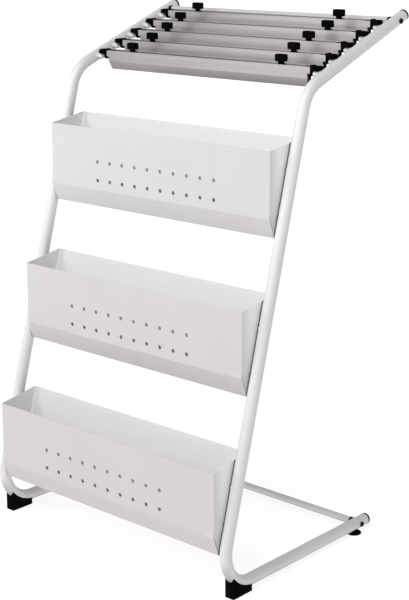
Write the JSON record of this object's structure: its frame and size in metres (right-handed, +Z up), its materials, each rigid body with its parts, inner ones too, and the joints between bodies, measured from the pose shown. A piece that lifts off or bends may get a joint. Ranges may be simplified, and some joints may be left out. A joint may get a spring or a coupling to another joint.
{
  "type": "periodical display rack",
  "caption": "Leaning tube rack that carries newspaper clamps on rising arms and folded sheet magazine pockets between its posts.",
  "frame": {"origin": "on the floor, under the middle of the rack's bounding box", "axes": "+X to the viewer's right across the rack, -Y towards the front, +Z up"},
  "size_m": [0.7114, 0.6074, 1.1584],
  "materials": {
    "white_powder_coat": "smooth semi-gloss powder coat",
    "anodised_aluminium": "satin anodised, drawn along its length",
    "black_plastic": "fine moulded texture",
    "black_rubber": "matte moulded",
    "blackened_screw": "blackened"
  },
  "bodies": {
    "rack": {"side_frame_left": "white_powder_coat", "side_frame_right": "white_powder_coat", "rail_plug_left": "black_plastic", "rail_plug_right": "black_plastic", "arm_plug_left": "black_plastic", "arm_plug_right": "black_plastic", "cross_tube_base": "white_powder_coat", "saddle_base_left": "black_plastic", "saddle_base_right": "black_plastic", "cross_screw_base_left": "blackened_screw", "cross_screw_base_right": "blackened_screw", "cross_tube_top": "white_powder_coat", "saddle_top_left": "black_plastic", "saddle_top_right": "black_plastic", "cross_screw_top_left": "blackened_screw", "cross_screw_top_right": "blackened_screw", "front_foot_left": "black_rubber", "front_foot_right": "black_rubber", "pocket_lower": "white_powder_coat", "pocket_screw_lower_left": "blackened_screw", "pocket_screw_lower_right": "blackened_screw", "pocket_middle": "white_powder_coat", "pocket_screw_middle_left": "blackened_screw", "pocket_screw_middle_right": "blackened_screw", "pocket_upper": "white_powder_coat", "pocket_screw_upper_left": "blackened_screw", "pocket_screw_upper_right": "blackened_screw"},
    "glide_left": {"rear_glide_left": "black_plastic"},
    "glide_right": {"rear_glide_right": "black_plastic"},
    "stick_1": {"stick_1_rail": "anodised_aluminium", "stick_1_cap_left": "black_plastic", "stick_1_cap_right": "black_plastic"},
    "stick_1_jaw": {"stick_1_jaw": "anodised_aluminium"},
    "stick_1_slider_left": {"stick_1_slider_left": "black_plastic"},
    "stick_1_slider_right": {"stick_1_slider_right": "black_plastic"},
    "stick_2": {"stick_2_rail": "anodised_aluminium", "stick_2_cap_left": "black_plastic", "stick_2_cap_right": "black_plastic"},
    "stick_2_jaw": {"stick_2_jaw": "anodised_aluminium"},
    "stick_2_slider_left": {"stick_2_slider_left": "black_plastic"},
    "stick_2_slider_right": {"stick_2_slider_right": "black_plastic"},
    "stick_3": {"stick_3_rail": "anodised_aluminium", "stick_3_cap_left": "black_plastic", "stick_3_cap_right": "black_plastic"},
    "stick_3_jaw": {"stick_3_jaw": "anodised_aluminium"},
    "stick_3_slider_left": {"stick_3_slider_left": "black_plastic"},
    "stick_3_slider_right": {"stick_3_slider_right": "black_plastic"},
    "stick_4": {"stick_4_rail": "anodised_aluminium", "stick_4_cap_left": "black_plastic", "stick_4_cap_right": "black_plastic"},
    "stick_4_jaw": {"stick_4_jaw": "anodised_aluminium"},
    "stick_4_slider_left": {"stick_4_slider_left": "black_plastic"},
    "stick_4_slider_right": {"stick_4_slider_right": "black_plastic"},
    "stick_5": {"stick_5_rail": "anodised_aluminium", "stick_5_cap_left": "black_plastic", "stick_5_cap_right": "black_plastic"},
    "stick_5_jaw": {"stick_5_jaw": "anodised_aluminium"},
    "stick_5_slider_left": {"stick_5_slider_left": "black_plastic"},
    "stick_5_slider_right": {"stick_5_slider_right": "black_plastic"}
  },
  "joints": [
    {"name": "glide_left_level", "type": "slide", "parent": "rack", "child": "glide_left", "axis": [0, 0, -1], "range_m": [-0.002, 0.01]},
    {"name": "glide_right_level", "type": "slide", "parent": "rack", "child": "glide_right", "axis": [0, 0, -1], "range_m": [-0.002, 0.01]},
    {"name": "stick_1_lift", "type": "slide", "parent": "rack", "child": "stick_1", "axis": [0, 0, 1], "range_m": [0, 0.1]},
    {"name": "stick_1_jaw_open", "type": "hinge", "parent": "stick_1", "child": "stick_1_jaw", "pos_m": [0, 0.02167, 1.03346], "axis": [-1, 0, 0], "range_deg": [0, 12], "stiffness_Nm_per_rad": 1.5, "springref_deg": -11.46},
    {"name": "stick_1_slider_left_slide", "type": "slide", "parent": "stick_1", "child": "stick_1_slider_left", "axis": [1, 0, 0], "range_m": [-0.045, 0.196]},
    {"name": "stick_1_slider_right_slide", "type": "slide", "parent": "stick_1", "child": "stick_1_slider_right", "axis": [1, 0, 0], "range_m": [-0.191, 0.05]},
    {"name": "stick_2_lift", "type": "slide", "parent": "rack", "child": "stick_2", "axis": [0, 0, 1], "range_m": [0, 0.1]},
    {"name": "stick_2_jaw_open", "type": "hinge", "parent": "stick_2", "child": "stick_2_jaw", "pos_m": [0, 0.07376, 1.0543], "axis": [-1, 0, 0], "range_deg": [0, 12], "stiffness_Nm_per_rad": 1.5, "springref_deg": -11.46},
    {"name": "stick_2_slider_left_slide", "type": "slide", "parent": "stick_2", "child": "stick_2_slider_left", "axis": [1, 0, 0], "range_m": [-0.057, 0.184]},
    {"name": "stick_2_slider_right_slide", "type": "slide", "parent": "stick_2", "child": "stick_2_slider_right", "axis": [1, 0, 0], "range_m": [-0.183, 0.058]},
    {"name": "stick_3_lift", "type": "slide", "parent": "rack", "child": "stick_3", "axis": [0, 0, 1], "range_m": [0, 0.1]},
    {"name": "stick_3_jaw_open", "type": "hinge", "parent": "stick_3", "child": "stick_3_jaw", "pos_m": [0, 0.12585, 1.07513], "axis": [-1, 0, 0], "range_deg": [0, 12], "stiffness_Nm_per_rad": 1.5, "springref_deg": -11.46},
    {"name": "stick_3_slider_left_slide", "type": "slide", "parent": "stick_3", "child": "stick_3_slider_left", "axis": [1, 0, 0], "range_m": [-0.055, 0.186]},
    {"name": "stick_3_slider_right_slide", "type": "slide", "parent": "stick_3", "child": "stick_3_slider_right", "axis": [1, 0, 0], "range_m": [-0.182, 0.059]},
    {"name": "stick_4_lift", "type": "slide", "parent": "rack", "child": "stick_4", "axis": [0, 0, 1], "range_m": [0, 0.1]},
    {"name": "stick_4_jaw_open", "type": "hinge", "parent": "stick_4", "child": "stick_4_jaw", "pos_m": [0, 0.17794, 1.09597], "axis": [-1, 0, 0], "range_deg": [0, 12], "stiffness_Nm_per_rad": 1.5, "springref_deg": -11.46},
    {"name": "stick_4_slider_left_slide", "type": "slide", "parent": "stick_4", "child": "stick_4_slider_left", "axis": [1, 0, 0], "range_m": [-0.049, 0.192]},
    {"name": "stick_4_slider_right_slide", "type": "slide", "parent": "stick_4", "child": "stick_4_slider_right", "axis": [1, 0, 0], "range_m": [-0.193, 0.048]},
    {"name": "stick_5_lift", "type": "slide", "parent": "rack", "child": "stick_5", "axis": [0, 0, 1], "range_m": [0, 0.1]},
    {"name": "stick_5_jaw_open", "type": "hinge", "parent": "stick_5", "child": "stick_5_jaw", "pos_m": [0, 0.23003, 1.1168], "axis": [-1, 0, 0], "range_deg": [0, 12], "stiffness_Nm_per_rad": 1.5, "springref_deg": -11.46},
    {"name": "stick_5_slider_left_slide", "type": "slide", "parent": "stick_5", "child": "stick_5_slider_left", "axis": [1, 0, 0], "range_m": [-0.057, 0.184]},
    {"name": "stick_5_slider_right_slide", "type": "slide", "parent": "stick_5", "child": "stick_5_slider_right", "axis": [1, 0, 0], "range_m": [-0.184, 0.057]}
  ]
}
